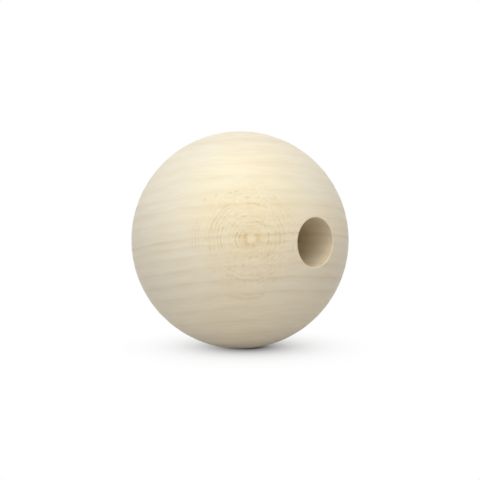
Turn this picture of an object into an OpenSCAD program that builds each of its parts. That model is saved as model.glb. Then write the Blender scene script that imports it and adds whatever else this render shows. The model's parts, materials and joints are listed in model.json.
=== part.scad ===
// Wooden dowel cap: a turned ball with one blind hole that takes the end of a dowel.
// Millimetres. The hole runs along X and opens towards +X, and Z is up.
// The origin is the dowel's seat, the middle of the hole's flat floor.

/* [Ball] */
// Diameter of the turned ball
ball_d = 31.75; // [24:0.25:60]

/* [Dowel hole] */
// Diameter of the hole that takes the dowel
bore_d = 6.65; // [3:0.05:13]
// Depth of the hole, from the crown of the ball to its flat floor
bore_depth = 15.875; // [7:0.125:20]
// Radius of the rim, where sanding rounds the edge between hole and ball
rim_r = 0.1; // [0.05:0.05:2]

/* [Drill mark] */
// Diameter of the pit that the drill's centre point leaves in the floor
pit_d = 1.6; // [0.4:0.1:2.8]
// Depth of that pit
pit_depth = 0.8; // [0.2:0.1:3]

/* [Hidden] */
$fn = 128;
maple = [0.91, 0.85, 0.72];
ball_r = ball_d / 2;
bore_r = bore_d / 2;
// Where the ball's centre lies along the hole, measured from the seat
centre_x = bore_depth - ball_r;
// The rim's section is a circle that touches the hole's wall and the ball from inside.
// It crosses the ball's surface by this much, because surfaces that only touch leave slivers
crossing = 0.0005;
// The centre of that circle: how far it is from the hole's axis, and from the ball's centre along it
rim_out = bore_r + rim_r;
rim_up = sqrt(pow(ball_r - rim_r + crossing, 2) - pow(rim_out, 2));
// The cutting solids end this far past the ball, and so this many times further out than that circle
clear = 1;
past = (ball_r + clear) / (ball_r - rim_r);

// What the drill takes away: the hole, and the pit of its centre point
module drilled() {
    cylinder(r = bore_r, h = bore_depth + clear);
    translate([0, 0, -pit_depth]) cylinder(r1 = 0, r2 = pit_d / 2, h = pit_depth);
}

// What sanding takes away: the ring between the hole and the rim's rounded edge
module sanded() {
    translate([0, 0, centre_x])
        rotate_extrude()
            difference() {
                polygon([
                    [0, rim_up],
                    [rim_out, rim_up],
                    [rim_out * past, rim_up * past],
                    [0, rim_up * past]
                ]);
                translate([rim_out, rim_up]) circle(r = rim_r);
            }
}

// The whole cap, one piece of wood
module dowel_cap() {
    color(maple)
        rotate([0, 90, 0])
            difference() {
                translate([0, 0, centre_x]) sphere(r = ball_r);
                drilled();
                sanded();
            }
}

dowel_cap();
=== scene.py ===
"""A bare maple dowel cap: a turned ball with one blind hole, on a pale bench.

Metres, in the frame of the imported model: the origin is the dowel's seat, which is
also the ball's centre, +X runs out of the hole and +Z is up. The cap is one surface
turned about the hole's axis. Its look is one procedural material, laid out on the
wood's own axes: across the rings, along the rings and along the fibres.
"""

import json
import math

import bpy
import numpy as np
from mathutils import Matrix, Vector


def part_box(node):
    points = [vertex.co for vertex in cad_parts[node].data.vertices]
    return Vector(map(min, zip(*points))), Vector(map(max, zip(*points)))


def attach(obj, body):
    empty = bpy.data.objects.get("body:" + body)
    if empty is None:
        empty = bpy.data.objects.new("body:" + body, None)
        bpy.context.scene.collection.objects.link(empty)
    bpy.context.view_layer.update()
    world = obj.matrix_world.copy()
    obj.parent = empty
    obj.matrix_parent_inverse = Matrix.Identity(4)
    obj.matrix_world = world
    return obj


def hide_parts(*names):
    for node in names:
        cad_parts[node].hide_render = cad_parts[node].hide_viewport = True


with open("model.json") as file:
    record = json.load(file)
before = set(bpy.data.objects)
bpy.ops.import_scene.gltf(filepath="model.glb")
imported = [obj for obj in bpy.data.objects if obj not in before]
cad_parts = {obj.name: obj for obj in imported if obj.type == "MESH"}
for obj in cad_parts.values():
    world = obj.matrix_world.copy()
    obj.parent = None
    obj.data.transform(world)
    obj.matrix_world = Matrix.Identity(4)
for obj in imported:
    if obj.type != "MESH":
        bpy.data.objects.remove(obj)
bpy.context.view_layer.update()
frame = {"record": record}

# ------------------------------------------------------------------ sizes, in metres

MM = 0.001
BALL_R = -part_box("dowel_cap")[0].x          # the dowel's seat is the ball's centre
bore = frame["record"]["mounts"][0]
BORE_R = bore["dims"]["r_mm"] * MM
RIM_R = 0.1 * MM                            # the rounded edge between ball and hole
PIT_R = 0.8 * MM                            # the mark of the drill's centre point
PIT_DEPTH = 0.8 * MM

# The rim's round touches the wall of the hole and the ball from inside.
RIM_OUT = BORE_R + RIM_R
RIM_ALONG = math.sqrt((BALL_R - RIM_R) ** 2 - RIM_OUT ** 2)
RIM_TURN = math.atan2(RIM_OUT, RIM_ALONG)   # angle at the ball's centre from the axis to the rim

# ------------------------------------------------------------------ camera and wood axes

BALL_PX = 108.6                             # radius of the ball in the frame
FRAME_PX = 480
CAMERA_AWAY = 7.5 * BALL_R                  # from the ball's centre
CAMERA_TURN = math.radians(-40.45)          # round Z, from the hole's axis
CAMERA_RISE = math.radians(1.6)
GRAIN_TURN = math.radians(-35.45)           # the fibres' direction, which is the lathe's axis
GRAIN_RISE = math.radians(2.4)


def direction(turn, rise):
    """The unit vector turned by one angle round Z from +X and raised by the other."""
    flat = math.cos(rise)
    return Vector((flat * math.cos(turn), flat * math.sin(turn), math.sin(rise)))


TO_CAMERA = direction(CAMERA_TURN, CAMERA_RISE)
CAMERA_RIGHT = Vector((0, 0, 1)).cross(TO_CAMERA).normalized()
FIBRE = direction(GRAIN_TURN, GRAIN_RISE)
ACROSS = Vector((0, 0, 1)).cross(FIBRE).normalized()
RINGWARD = FIBRE.cross(ACROSS)
TO_WOOD = Matrix((ACROSS, RINGWARD, FIBRE))  # turns a point into (across, ringward, along fibres)

# ------------------------------------------------------------------ the wood, in millimetres

PITH = (4.5, -96.0)                         # the tree's middle, from the ball's, across and ringward
RING_AT_CENTRE = 61.73                      # years from the pith to the ball's centre
RINGS_PER_MM = 0.546                        # in the years of fast growth
SLOW_YEARS = 0.8                            # extra rings either side of the slowest year
SLOW_AT = 0.6                               # where that year lies, above the ball's centre
SLOW_SPREAD = 2.0                           # how far the slow years reach to either side of it
WANDER = 1.4                                # how far apart the fibres' furthest strays are
RIDGE = 0.005                               # late wood stands so proud, and early wood lies so low

# The lathe's marks, at both ends of its axis. Each arc of torn end grain is (radius, from,
# to, width, depth): millimetres, degrees anticlockwise from level, and depth from 0 to 1.
TORN_ARCS = (
    (1.50, 150, 196, 0.30, 1.0),
    (1.95, 154, 218, 0.30, 1.0),
    (2.00, 80, 108, 0.34, 0.8),
    (2.10, 62, 90, 0.34, 1.0),
    (2.32, 48, 74, 0.34, 1.0),
    (2.58, 36, 58, 0.34, 0.9),
    (2.34, -20, 17, 0.36, 1.0),
    (2.90, 100, 150, 0.25, 0.4),
    (3.45, 88, 128, 0.28, 0.6),
    (3.85, 158, 206, 0.28, 0.6),
    (3.85, -10, 40, 0.24, 0.35),
    (4.25, 120, 205, 0.26, 0.5),
    (4.40, -14, 38, 0.28, 0.6),
    (4.45, 62, 96, 0.32, 0.7),
    (4.72, 124, 165, 0.28, 0.6),
    (4.80, 232, 306, 0.40, 0.25),
    (5.15, 122, 170, 0.32, 0.8),
    (5.40, 234, 312, 0.40, 0.3),
    (6.70, 164, 196, 0.24, 0.4),
    (7.10, 160, 194, 0.24, 0.5),
    (7.30, 256, 284, 0.36, 0.4),
    (7.50, 164, 190, 0.24, 0.4),
    (7.90, 248, 282, 0.80, 0.35),
)
# Deeper spots, where a circle crosses a ring's hard wood: (radius, angle)
TORN_SPOTS = (
    (2.42, 268), (2.50, 288), (3.04, 305), (3.20, 316), (3.50, 255),
    (5.45, 280), (5.60, 239), (7.45, 283),
    (5.30, 94), (5.40, 79), (6.26, 58), (6.31, 106), (6.45, 113), (7.03, 128), (7.70, 139),
)
SPOT = 0.40                                 # width and length of a spot
SPOT_DEPTH = 0.7                            # on the same scale as an arc's
# The brown scar round the nib of the last cut: (degrees from SWEEP_FROM, strength)
SCAR = ((0, 0.6), (20, 1.0), (36, 1.0), (50, 0.35), (76, 0.6), (100, 0.3), (130, 0.65),
        (180, 0.7), (200, 0.35), (256, 0.4), (284, 0.9), (330, 0.8), (360, 0.6))
NIB_AT = (0.09, -0.10)                      # the nib is a little off the axis
SWEEP_FROM = 214                            # degrees: where the sweep round the axis starts
ARC_FADE = 6                                # degrees over which an arc fades in and out
CIRCLE_STEP = 0.5                           # between the faint circles of the tool's feed
CIRCLE_STRAY = 0.6                          # how far apart a circle's furthest strays are
SCAR_STRAY = 0.5                            # the same for the scar's outline
TORN_REACH = 8.4                            # past this radius the grain is clean
SCAR_REACH = 2.0                            # and past this one it is not brown
SKIN = 0.25                                 # the marks go no deeper than this
OTHER_END = 1 / 3                           # turns between the marks of the two ends
YELLOW_AT = (-0.5, 4.5, 0.0)                # the middle of the yellower end grain
GROOVE_R = 1.0                              # the groove round the nib
GROOVE_WIDTH = 0.3
GROOVE_DEPTH = 0.03
DRILL_FEED = 0.7                            # between the drill's rings in the hole


# ------------------------------------------------------------------ the cap's surface


def section(ball_rows, rim_rows, wall_rows, floor_rows, pit_rows):
    """Half of the cap's section, from the back of the ball to the pit's tip.

    Returns two arrays, the distance out from the hole's axis and the place along it:
    an arc of the ball, the rim's arc, the straight wall, the flat floor and the pit's cone.
    """
    turn = np.linspace(math.pi, RIM_TURN, ball_rows)
    ball = np.stack([BALL_R * np.sin(turn), BALL_R * np.cos(turn)])
    around = np.linspace(math.pi / 2 - RIM_TURN, math.pi, rim_rows)[1:]
    rim = np.stack([RIM_OUT + RIM_R * np.cos(around), RIM_ALONG + RIM_R * np.sin(around)])
    depth = np.linspace(RIM_ALONG, 0, wall_rows)[1:]
    wall = np.stack([np.full_like(depth, BORE_R), depth])
    inward = np.linspace(BORE_R, PIT_R, floor_rows)[1:]
    floor = np.stack([inward, np.zeros_like(inward)])
    cone = np.linspace(1, 0, pit_rows)[1:]
    pit = np.stack([PIT_R * cone, PIT_DEPTH * (cone - 1)])
    return np.concatenate([ball, rim, wall, floor, pit], axis=1)


def relief(points):
    """How far the wood stands out of the true ball, in metres, at each point.

    The late wood of each ring stands a few microns proud after sanding, and the last
    cut at each end of the lathe's axis leaves a shallow groove round a small nib.
    """
    wood = points @ np.array(TO_WOOD).T / MM
    off_axis = np.hypot(wood[..., 0], wood[..., 1])
    ringward = np.hypot(wood[..., 0] - PITH[0], wood[..., 1] - PITH[1]) - math.hypot(*PITH)
    slow_years = SLOW_YEARS * np.tanh((ringward - SLOW_AT) / SLOW_SPREAD)
    number = RING_AT_CENTRE + RINGS_PER_MM * ringward + slow_years
    ridges = RIDGE * np.cos(2 * math.pi * number)
    groove = GROOVE_DEPTH * np.exp(-(((off_axis - GROOVE_R) / GROOVE_WIDTH) ** 2))
    return (ridges - groove) * MM


def cap_mesh(name, columns=352):
    """The cap's surface: its section turned about +X, with both poles closed by fans.

    A point is (along, out * cos(a), out * sin(a)). The ball's part is then moved along
    its own normal by the relief, which fades out over the last millimetre before the rim.
    """
    out, along = section(ball_rows=232, rim_rows=12, wall_rows=24, floor_rows=5, pit_rows=4)
    angle = np.linspace(0, 2 * math.pi, columns, endpoint=False)
    grid = np.stack(
        np.broadcast_arrays(
            along[:, None],
            out[:, None] * np.cos(angle),
            out[:, None] * np.sin(angle),
        ),
        axis=-1,
    )
    reach = np.linalg.norm(grid, axis=-1, keepdims=True)
    on_ball = reach > BALL_R - 0.01 * MM
    past_rim = np.clip((np.hypot(out, along - BALL_R) - RIM_OUT) / MM, 0, 1)[:, None, None]
    grid = grid * (1 + on_ball * past_rim * relief(grid)[..., None] / BALL_R)

    back, tip = grid[0].mean(axis=0), grid[-1].mean(axis=0)
    points = np.concatenate([grid[1:-1].reshape(-1, 3), [back, tip]])
    rows = len(out) - 2
    index = np.arange(rows * columns).reshape(rows, columns)
    beside = np.roll(index, -1, axis=1)
    quads = np.stack([index[:-1], index[1:], beside[1:], beside[:-1]], axis=-1).reshape(-1, 4)
    first = np.stack([index[0], beside[0], np.full(columns, rows * columns)], axis=-1)
    last = np.stack([beside[-1], index[-1], np.full(columns, rows * columns + 1)], axis=-1)
    mesh = bpy.data.meshes.new(name)
    mesh.from_pydata(points.tolist(), [], quads.tolist() + first.tolist() + last.tolist())
    mesh.polygons.foreach_set("use_smooth", np.ones(len(mesh.polygons), bool))
    mesh.set_sharp_from_angle(angle=math.radians(35))
    return mesh


# ------------------------------------------------------------------ materials


def linear(hex_colour):
    """An sRGB hex colour, such as "#E8DABE", as a linear RGBA tuple."""
    parts = [int(hex_colour[i:i + 2], 16) / 255 for i in (1, 3, 5)]
    return (*[c / 12.92 if c <= 0.04045 else ((c + 0.055) / 1.055) ** 2.4 for c in parts], 1.0)


def add(tree, kind, inputs=(), stops=(), **settings):
    """Adds a node of that kind and returns its outputs.

    inputs pairs an input's name or number with a value, or with another node's output.
    stops are a colour ramp's (place, level) pairs, eased from one to the next. The level
    comes out of its Alpha, a plain number. settings are the node's own properties.
    """
    node = tree.nodes.new("ShaderNode" + kind)
    for name, value in settings.items():
        setattr(node, name, value)
    for socket, value in dict(inputs).items():
        if isinstance(value, bpy.types.NodeSocket):
            tree.links.new(value, node.inputs[socket])
        else:
            node.inputs[socket].default_value = value
    if stops:
        node.color_ramp.interpolation = "EASE"
        node.color_ramp.elements.remove(node.color_ramp.elements[1])
        node.color_ramp.elements[0].position = stops[0][0]
        node.color_ramp.elements[0].color = [stops[0][1]] * 4
        for place, level in stops[1:]:
            node.color_ramp.elements.new(place).color = [level] * 4
    return node.outputs


def new_material(name):
    """An empty node material, its tree and its output node's surface."""
    material = bpy.data.materials.new(name)
    material.use_nodes = True
    material.node_tree.nodes.clear()
    output = material.node_tree.nodes.new("ShaderNodeOutputMaterial")
    return material, material.node_tree, output.inputs["Surface"]


def growth_rings(tree, wood):
    """The rings' dark late wood, from 0 to 1, and the distance from the ball's own ring in mm.

    Fibres wander by about half a millimetre over 14 mm, and less over shorter lengths. Late
    wood darkens slowly and pales faster, where the next spring's wood starts. Some years
    are darker than others.
    """
    long = add(tree, "VectorMath", {0: wood, 1: (1, 1, 0.35)}, operation="MULTIPLY")[0]
    wander = add(tree, "TexNoise", {"Vector": long, "Scale": 1 / 14, "Detail": 3.0})["Color"]
    bent = add(tree, "VectorMath", {0: wander, 1: (0, WANDER, 0), 2: wood},
               operation="MULTIPLY_ADD")[0]
    flat = add(tree, "VectorMath", {0: bent, 1: (1, 1, 0)}, operation="MULTIPLY")[0]
    pith = (PITH[0], PITH[1] + WANDER / 2, 0)   # the wander only adds, so the pith moves by half
    away = add(tree, "VectorMath", {0: flat, 1: pith}, operation="DISTANCE")["Value"]
    ringward = add(tree, "Math", {0: away, 1: math.hypot(*PITH)}, operation="SUBTRACT")[0]
    past = add(tree, "Math", {0: ringward, 1: SLOW_AT}, operation="SUBTRACT")[0]
    past = add(tree, "Math", {0: past, 1: SLOW_SPREAD}, operation="DIVIDE")[0]
    slowed = add(tree, "Math", {0: past}, operation="TANH")[0]
    steady = add(tree, "Math", {0: ringward, 1: RINGS_PER_MM, 2: RING_AT_CENTRE + 0.5},
                 operation="MULTIPLY_ADD")[0]
    number = add(tree, "Math", {0: slowed, 1: SLOW_YEARS, 2: steady}, operation="MULTIPLY_ADD")[0]
    phase = add(tree, "Math", {0: number}, operation="FRACT")[0]
    edge = add(tree, "ValToRGB", {"Fac": phase},
               stops=[(0.05, 0.0), (0.32, 0.45), (0.5, 1.0), (0.68, 0.25), (0.9, 0.0)])["Alpha"]
    year = add(tree, "Math", {0: number}, operation="FLOOR")[0]
    chance = add(tree, "TexWhiteNoise", {"W": year}, noise_dimensions="1D")["Value"]
    strength = add(tree, "Math", {0: chance, 1: 0.65, 2: 0.35}, operation="MULTIPLY_ADD")[0]
    # Rings above the middle and near the bottom are fainter, and all fade in 6 mm patches
    height = add(tree, "Math", {0: ringward, 1: BALL_R / MM}, operation="DIVIDE")[0]
    height = add(tree, "Math", {0: height, 1: 0.5, 2: 0.5}, operation="MULTIPLY_ADD")[0]
    middle = add(tree, "ValToRGB", {"Fac": height},
                 stops=[(0.1, 0.5), (0.3, 0.75), (0.42, 1.0), (0.5, 1.0), (0.68, 0.6)])["Alpha"]
    patches = add(tree, "TexNoise", {"Vector": wood, "Scale": 1 / 6, "Detail": 1.0})["Fac"]
    patches = add(tree, "ValToRGB", {"Fac": patches}, stops=[(0.35, 0.6), (0.6, 1.0)])["Alpha"]
    for part in (strength, middle, patches):
        edge = add(tree, "Math", {0: edge, 1: part}, operation="MULTIPLY")[0]
    return edge, ringward


def torn_grain(tree, flat, parts, skin):
    """The lathe's marks, from 0 to 1: bold arcs, faint circles, the last cut's scar and nib.

    It also gives where grain is torn at all, from 0 to 1: round the axis, but not on it.
    All of them are only skin deep, so the hole's wall and floor have none.

    Fibres tear in steps across the rings, so the arcs and circles are broken up like a
    ladder, and the scar a little. The other end of the axis has the same marks, turned by
    a third.
    """
    off_axis = add(tree, "VectorMath", {0: flat}, operation="LENGTH")["Value"]
    # The circles stray by a tenth of a millimetre, every two millimetres or so
    stray = add(tree, "TexNoise", {"Vector": flat, "Scale": 1 / 2, "Detail": 1.0})["Fac"]
    strayed = add(tree, "Math", {0: stray, 1: CIRCLE_STRAY, 2: off_axis},
                  operation="MULTIPLY_ADD")[0]
    strayed = add(tree, "Math", {0: strayed, 1: CIRCLE_STRAY / 2}, operation="SUBTRACT")[0]
    place = add(tree, "Math", {0: strayed, 1: TORN_REACH}, operation="DIVIDE")[0]

    angle = add(tree, "Math", {0: parts["Y"], 1: parts["X"]}, operation="ARCTAN2")[0]
    back = add(tree, "Math", {0: parts["Z"], 1: 0.0}, operation="LESS_THAN")[0]
    turn = add(tree, "Math", {0: back, 1: OTHER_END, 2: 1 - SWEEP_FROM / 360},
               operation="MULTIPLY_ADD")[0]
    turn = add(tree, "Math", {0: angle, 1: 1 / (2 * math.pi), 2: turn},
               operation="MULTIPLY_ADD")[0]
    sweep = add(tree, "Math", {0: turn}, operation="FRACT")[0]

    # The ladder's steps are about 1 mm long and 0.4 mm high
    steps = add(tree, "VectorMath", {0: flat, 1: (1 / 1.0, 1 / 0.4, 0)}, operation="MULTIPLY")[0]
    steps = add(tree, "TexNoise", {"Vector": steps, "Scale": 1.0, "Detail": 1.0})["Fac"]
    steps = add(tree, "ValToRGB", {"Fac": steps}, stops=[(0.34, 0.35), (0.54, 1.0)])["Alpha"]
    steps = add(tree, "Math", {0: steps, 1: skin}, operation="MULTIPLY")[0]

    marks = [(*arc, steps) for arc in TORN_ARCS]
    for radius, middle in TORN_SPOTS:
        half = math.degrees(SPOT / 2 / radius)
        marks.append((radius, middle - half, middle + half, SPOT, SPOT_DEPTH, skin))
    bold = 0.0
    for radius, first, last, width, depth, shown in marks:
        line = [(radius - width / 2, 0.0), (radius, depth), (radius + width / 2, 0.0)]
        line = [(at / TORN_REACH, level) for at, level in line]
        ring = add(tree, "ValToRGB", {"Fac": place}, stops=line)["Alpha"]
        fade = min(ARC_FADE, (last - first) / 2)
        start, end = (first - SWEEP_FROM) % 360, (last - SWEEP_FROM) % 360
        ends = [(start - fade, 0.0), (start + fade, 1.0), (end - fade, 1.0), (end + fade, 0.0)]
        ends = [(at / 360, level) for at, level in sorted(ends)]
        swept = add(tree, "ValToRGB", {"Fac": sweep}, stops=ends)["Alpha"]
        mark = add(tree, "Math", {0: ring, 1: swept}, operation="MULTIPLY")[0]
        mark = add(tree, "Math", {0: mark, 1: shown}, operation="MULTIPLY")[0]
        bold = add(tree, "Math", {0: mark, 1: bold}, operation="MAXIMUM")[0]

    wave = add(tree, "Math", {0: strayed, 1: 2 * math.pi / CIRCLE_STEP, 2: math.pi},
               operation="MULTIPLY_ADD")[0]
    wave = add(tree, "Math", {0: wave}, operation="SINE")[0]
    faint = add(tree, "Math", {0: wave, 1: 0.5, 2: 0.5}, operation="MULTIPLY_ADD")[0]
    # They show in patches of about 2 mm, out to 5 mm from the axis and fainter to 8 mm
    patches = add(tree, "TexNoise", {"Vector": flat, "Scale": 1 / 2.2, "Detail": 1.0})["Fac"]
    patches = add(tree, "ValToRGB", {"Fac": patches}, stops=[(0.46, 0.0), (0.64, 1.0)])["Alpha"]
    near = add(tree, "ValToRGB", {"Fac": place},
               stops=[(0.1, 0.0), (0.2, 1.0), (0.6, 1.0), (0.95, 0.0)])["Alpha"]
    for part in (patches, near, steps):
        faint = add(tree, "Math", {0: faint, 1: part}, operation="MULTIPLY")[0]

    # The scar's outline strays up to a quarter of a millimetre to each side
    ragged = add(tree, "TexNoise", {"Vector": flat, "Scale": 1 / 0.7, "Detail": 1.0})["Color"]
    ragged = add(tree, "VectorMath", {0: ragged, 1: (SCAR_STRAY, SCAR_STRAY, 0), 2: flat},
                 operation="MULTIPLY_ADD")[0]
    nib_at = (NIB_AT[0] + SCAR_STRAY / 2, NIB_AT[1] + SCAR_STRAY / 2, 0)    # ragged only adds, too
    from_nib = add(tree, "VectorMath", {0: ragged, 1: nib_at}, operation="DISTANCE")["Value"]
    from_nib = add(tree, "Math", {0: from_nib, 1: SCAR_REACH}, operation="DIVIDE")[0]
    scar = add(tree, "ValToRGB", {"Fac": from_nib},
               stops=[(0.22, 0.0), (0.40, 1.0), (0.5, 0.9), (0.62, 0.4), (0.95, 0.0)])["Alpha"]
    round_it = [(at / 360, level) for at, level in SCAR]
    round_it = add(tree, "ValToRGB", {"Fac": sweep}, stops=round_it)["Alpha"]
    uneven = add(tree, "Math", {0: steps, 1: 0.65, 2: 0.35}, operation="MULTIPLY_ADD")[0]
    for part in (round_it, uneven, skin):
        scar = add(tree, "Math", {0: scar, 1: part}, operation="MULTIPLY")[0]
    nib = add(tree, "ValToRGB", {"Fac": from_nib}, stops=[(0.06, 1.0), (0.32, 0.0)])["Alpha"]
    nib = add(tree, "Math", {0: nib, 1: skin}, operation="MULTIPLY")[0]
    near = add(tree, "Math", {0: near, 1: skin}, operation="MULTIPLY")[0]
    return bold, faint, scar, nib, near


def bored_wall(tree, place):
    """The drill's marks on the hole, burnished streaks and rings, and the lip's painted shade.

    The streaks and the lip's shade are from 0 to 1, and the rings from -1 to 1. The drill rubs
    brown streaks about 1 mm wide and 2.5 mm long. The rings are its cutting edges' marks,
    one for each turn of a fast feed. The lip is painted a little darker, as shade on its lit crest.
    """
    off_hole = add(tree, "VectorMath", {0: place, 1: (0, 1, 1)}, operation="MULTIPLY")[0]
    off_hole = add(tree, "VectorMath", {0: off_hole}, operation="LENGTH")["Value"]
    wall = add(tree, "MapRange", {0: off_hole, 1: BORE_R + 0.02 * MM, 2: BORE_R + 0.2 * MM,
                                  3: 1.0, 4: 0.0})[0]
    # The ball's back is on the hole's axis too, but the drill ends within 1 mm of the seat
    along = add(tree, "SeparateXYZ", {0: place})["X"]
    front = add(tree, "Math", {0: along, 1: -1 * MM}, operation="GREATER_THAN")[0]
    wall = add(tree, "Math", {0: wall, 1: front}, operation="MULTIPLY")[0]
    long = add(tree, "VectorMath", {0: place, 1: (0.4 / MM, 1 / MM, 1 / MM)},
               operation="MULTIPLY")[0]
    streaks = add(tree, "TexNoise", {"Vector": long, "Scale": 1.0, "Detail": 1.0})["Fac"]
    streaks = add(tree, "ValToRGB", {"Fac": streaks}, stops=[(0.52, 0.0), (0.68, 1.0)])["Alpha"]
    streaks = add(tree, "Math", {0: streaks, 1: wall}, operation="MULTIPLY")[0]
    feed = add(tree, "Math", {0: along, 1: 2 * math.pi / (DRILL_FEED * MM)},
               operation="MULTIPLY")[0]
    rings = add(tree, "Math", {0: feed}, operation="SINE")[0]
    rings = add(tree, "Math", {0: rings, 1: wall}, operation="MULTIPLY")[0]
    # The lip is the rim's round, from just inside the wall to just past the rim, where shade is
    # painted
    lip_shade = add(tree, "Math", {0: off_hole, 1: 2 * BORE_R}, operation="DIVIDE")[0]
    lip_shade = add(tree, "ValToRGB", {"Fac": lip_shade},
              stops=[(0.495, 0.0), (0.507, 1.0), (0.52, 0.0)])["Alpha"]
    lip_shade = add(tree, "Math", {0: lip_shade, 1: front}, operation="MULTIPLY")[0]
    return streaks, rings, lip_shade


def sanded_maple():
    """Hard maple, turned on a lathe and sanded, with no finish on it.

    Maple is pale cream with thin, slightly browner growth rings and fine flecks. Its end
    grain is yellower than its sides. Bare wood scatters nearly all light, with a wide weak
    sheen: IOR 1.5 and roughness near 0.5. Where the tool tore the grain it looks brown.
    """
    material, tree, surface = new_material("sanded_maple")
    place = add(tree, "TexCoord")["Object"]
    wood = add(tree, "Mapping", {"Vector": place, "Rotation": TO_WOOD.to_euler("XYZ"),
                                 "Scale": (1 / MM, 1 / MM, 1 / MM)})[0]
    parts = add(tree, "SeparateXYZ", {0: wood})
    flat = add(tree, "VectorMath", {0: wood, 1: (1, 1, 0)}, operation="MULTIPLY")[0]
    ring_line, ringward = growth_rings(tree, wood)
    depth = add(tree, "VectorMath", {0: place}, operation="LENGTH")["Value"]
    skin = add(tree, "Math", {0: depth, 1: BALL_R - SKIN * MM}, operation="GREATER_THAN")[0]
    torn, circles, scar, nib, near_axis = torn_grain(tree, flat, parts, skin)
    burnished, drill_rings, lip_shade = bored_wall(tree, place)

    # Streaks of darker fibres along the rings, about 3 by 0.45 mm, and 8 mm along the fibres
    across = add(tree, "Math", {0: parts["X"], 1: 1 / 3}, operation="MULTIPLY")[0]
    outward = add(tree, "Math", {0: ringward, 1: 1 / 0.45}, operation="MULTIPLY")[0]
    along = add(tree, "Math", {0: parts["Z"], 1: 1 / 8}, operation="MULTIPLY")[0]
    streak_place = add(tree, "CombineXYZ", {"X": across, "Y": outward, "Z": along})[0]
    streaks = add(tree, "TexNoise", {"Vector": streak_place, "Scale": 1.0, "Detail": 1.0})["Fac"]
    streaks = add(tree, "ValToRGB", {"Fac": streaks}, stops=[(0.3, 1.0), (0.7, 0.0)])["Alpha"]

    # Pores: maple's vessels are under 0.1 mm wide, so they are drawn as clusters of 0.45 mm
    pores = add(tree, "TexNoise", {"Vector": wood, "Scale": 1 / 0.45, "Detail": 1.0})["Fac"]
    pores = add(tree, "ValToRGB", {"Fac": pores}, stops=[(0.38, 1.0), (0.55, 0.0)])["Alpha"]
    pores = add(tree, "Math", {0: pores, 1: near_axis}, operation="MULTIPLY")[0]

    # Clouds of tone, about 10 by 5 mm and 14 mm along the fibres, are the wood's own. On them lies
    # painted light: greyer above and to the left, a painted sheen, and warmer below, painted warm
    # shade
    long = add(tree, "VectorMath", {0: wood, 1: (0.5, 1, 0.35)}, operation="MULTIPLY")[0]
    clouds = add(tree, "TexNoise", {"Vector": long, "Scale": 1 / 5, "Detail": 2.0})["Fac"]
    tone_and_painted_light = add(tree, "Math", {0: ringward, 1: 0.4 * MM / BALL_R, 2: clouds},
               operation="MULTIPLY_ADD")[0]
    # Painted sheen: the lit left side is drawn greyer
    left = add(tree, "Math", {0: parts["X"], 1: 0.0}, operation="MINIMUM")[0]
    tone_and_painted_light = add(tree, "Math", {0: left, 1: -0.6 * MM / BALL_R, 2: tone_and_painted_light},
               operation="MULTIPLY_ADD")[0]
    end_grain = add(tree, "VectorMath", {0: flat, 1: YELLOW_AT}, operation="DISTANCE")["Value"]
    end_grain = add(tree, "Math", {0: end_grain, 1: BALL_R / MM}, operation="DIVIDE")[0]
    end_grain = add(tree, "ValToRGB", {"Fac": end_grain},
                    stops=[(0.0, 1.0), (0.25, 0.8), (0.65, 0.0)])["Alpha"]
    end_grain = add(tree, "Math", {0: end_grain, 1: skin}, operation="MULTIPLY")[0]

    # The clouds and the painted light run from the warmer colour to the greyer one
    colour = add(tree, "Mix", {0: tone_and_painted_light, 6: linear("#F2E3C6"), 7: linear("#ECE4CF")},
                 data_type="RGBA")[2]
    for mark, stain in (
        (end_grain, "#FFFDF0"),
        (ring_line, "#F4EDE4"),
        (streaks, "#FCFAF7"),
        (pores, "#FCF9F3"),
        (circles, "#FAF7F1"),
        (torn, "#ECE0C8"),
        (scar, "#EBD7AD"),
        (burnished, "#FDF9F5"),
        # painted shade on the rim's round, which dims its lit crest
        (lip_shade, "#F9F7F1"),
    ):
        colour = add(tree, "Mix", {0: mark, 6: colour, 7: linear(stain)},
                     data_type="RGBA", blend_type="MULTIPLY")[2]
    colour = add(tree, "Mix", {0: nib, 6: colour, 7: linear("#EFE1BB")}, data_type="RGBA")[2]

    # Height in millimetres: late wood and the nib stand up, torn grain and the scar lie low
    height = 0.0
    for mark, rise in (
        (ring_line, 0.004),
        (circles, -0.008),
        (torn, -0.015),
        (scar, -0.012),
        (nib, 0.006),
        (drill_rings, 0.002),
    ):
        height = add(tree, "Math", {0: mark, 1: rise, 2: height}, operation="MULTIPLY_ADD")[0]
    bump = add(tree, "Bump", {"Height": height, "Distance": MM, "Strength": 1.0})[0]

    shader = add(tree, "BsdfPrincipled", {"Base Color": colour, "Roughness": 0.5, "IOR": 1.5,
                                          "Normal": bump})[0]
    tree.links.new(shader, surface)
    return material


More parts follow.
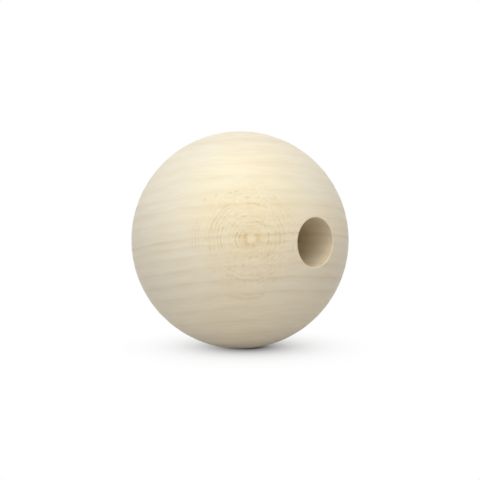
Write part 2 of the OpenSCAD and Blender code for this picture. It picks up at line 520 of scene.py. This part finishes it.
def pale_laminate():
    """Matt pale laminate. Near the cap it keeps the shadow, and further out it is plain
    white to the camera and in reflections, so that bench and background are one."""
    material, tree, surface = new_material("pale_laminate")
    place = add(tree, "TexCoord")["Object"]
    middle = 0.9 * MM * CAMERA_RIGHT - 0.7 * MM * direction(CAMERA_TURN, 0)
    away = add(tree, "VectorMath", {0: place, 1: middle}, operation="DISTANCE")["Value"]
    # The shadow's weight falls from 1 by the contact, fast at first, to 0 at 29 mm from it
    keep = add(tree, "MapRange", {0: away, 1: 2 * MM, 2: 29 * MM, 3: 1.0, 4: 0.0})[0]
    keep = add(tree, "Math", {0: keep, 1: 4.6}, operation="POWER")[0]
    plain = add(tree, "Math", {0: 1.0, 1: keep}, operation="SUBTRACT")[0]
    path = add(tree, "LightPath")
    seen = add(tree, "Math", {0: path["Is Camera Ray"], 1: path["Is Glossy Ray"]},
               operation="MAXIMUM")[0]
    white_part = add(tree, "Math", {0: plain, 1: seen}, operation="MULTIPLY")[0]
    matt = add(tree, "BsdfDiffuse", {"Color": linear("#CBCBCB")})[0]
    white = add(tree, "Emission", {"Color": (1, 1, 1, 1), "Strength": 1.0})[0]
    shader = add(tree, "MixShader", {0: white_part, 1: matt, 2: white})[0]
    tree.links.new(shader, surface)
    return material


# ------------------------------------------------------------------ the cap

cap = bpy.data.objects.new("maple_dowel_cap", cap_mesh("maple_dowel_cap"))
bpy.context.scene.collection.objects.link(cap)
cap.data.materials.append(sanded_maple())
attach(cap, "root")
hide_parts("dowel_cap")

# ------------------------------------------------------------------ bench, light and camera


def bench():
    """A flat pale square under the ball, laid out round the point where it touches."""
    half = 40 * BALL_R
    mesh = bpy.data.meshes.new("bench")
    corners = [(-half, -half, 0), (half, -half, 0), (half, half, 0), (-half, half, 0)]
    mesh.from_pydata(corners, [], [(0, 1, 2, 3)])
    mesh.materials.append(pale_laminate())
    floor = bpy.data.objects.new("bench", mesh)
    floor.location = (0, 0, -BALL_R)
    bpy.context.scene.collection.objects.link(floor)


def softbox(name, turn, rise, away, size, strength):
    """A square lamp that faces the ball, turned from the camera's side and raised, in degrees.

    strength is its light on what faces it: 1 shows a colour about as it is written. A
    small lamp of power P gives P / (pi * distance squared), and a white surface in it
    shows that over pi.
    """
    lamp = bpy.data.lights.new(name, "AREA")
    lamp.shape = "SQUARE"
    lamp.size = size
    lamp.energy = strength * (math.pi * away) ** 2
    box = bpy.data.objects.new(name, lamp)
    towards = direction(CAMERA_TURN + math.radians(turn), math.radians(rise))
    box.location = towards * away
    box.rotation_mode = "QUATERNION"
    box.rotation_quaternion = towards.to_track_quat("Z", "Y")
    box.visible_camera = False
    bpy.context.scene.collection.objects.link(box)


def studio():
    """A large softbox above the camera, two low lamps beside it, and a white room."""
    softbox("overhead_softbox", turn=-6, rise=65, away=0.4, size=0.4, strength=0.74)
    softbox("left_lamp", turn=-30, rise=15, away=0.4, size=0.4, strength=0.335)
    softbox("right_lamp", turn=30, rise=15, away=0.4, size=0.4, strength=0.17)
    world = bpy.data.worlds.new("white_room")
    world.use_nodes = True
    tree = world.node_tree
    tree.nodes.clear()
    # The room shows white, and gives the ball a soft quarter of that as light.
    path = add(tree, "LightPath")
    seen = add(tree, "Math", {0: path["Is Camera Ray"], 1: path["Is Glossy Ray"]},
               operation="MAXIMUM")[0]
    seen = add(tree, "Math", {0: seen, 1: path["Is Transmission Ray"]}, operation="MAXIMUM")[0]
    strength = add(tree, "Math", {0: seen, 1: 0.26}, operation="MAXIMUM")[0]
    sky = add(tree, "Background", {"Color": (1, 1, 1, 1), "Strength": strength})[0]
    output = tree.nodes.new("ShaderNodeOutputWorld")
    tree.links.new(sky, output.inputs["Surface"])
    bpy.context.scene.world = world


def camera():
    """A camera just above the ball's height, with a lens that gives the ball its size."""
    data = bpy.data.cameras.new("camera")
    data.sensor_width = 36.0
    spread = math.sqrt((CAMERA_AWAY / BALL_R) ** 2 - 1)
    data.lens = data.sensor_width * BALL_PX / FRAME_PX * spread
    data.clip_start = 0.01
    eye = bpy.data.objects.new("camera", data)
    eye.location = TO_CAMERA * CAMERA_AWAY
    eye.rotation_mode = "QUATERNION"
    eye.rotation_quaternion = TO_CAMERA.to_track_quat("Z", "Y")
    bpy.context.scene.collection.objects.link(eye)
    bpy.context.scene.camera = eye


bench()
studio()
camera()
bpy.context.scene.view_settings.view_transform = "Standard"
